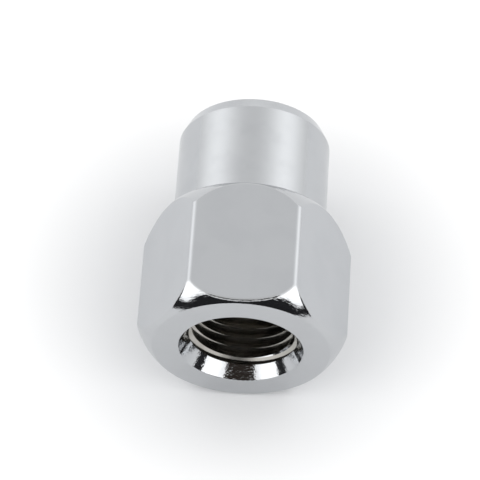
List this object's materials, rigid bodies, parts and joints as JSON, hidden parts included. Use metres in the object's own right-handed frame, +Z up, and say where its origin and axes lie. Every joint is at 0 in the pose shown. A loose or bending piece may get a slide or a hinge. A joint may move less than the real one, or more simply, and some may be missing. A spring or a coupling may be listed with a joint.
{
  "type": "lug nut",
  "caption": "Open-end lug nut: a hexagon with rounded corners and a straight shank, threaded right through, that clamps a wheel with a shank seat.",
  "frame": {"origin": "on the surface that the nut lies on, below the middle of its length, straight under the bore's axis", "axes": "+Y along the bore from the hexagon's end towards the shank's end, +Z up, with one flat of the hexagon down"},
  "size_m": [0.0236, 0.0286, 0.0206],
  "materials": {
    "chrome_plate": "bright chrome plating on turned steel"
  },
  "bodies": {
    "root": {"nut_body": "chrome_plate"}
  },
  "joints": []
}
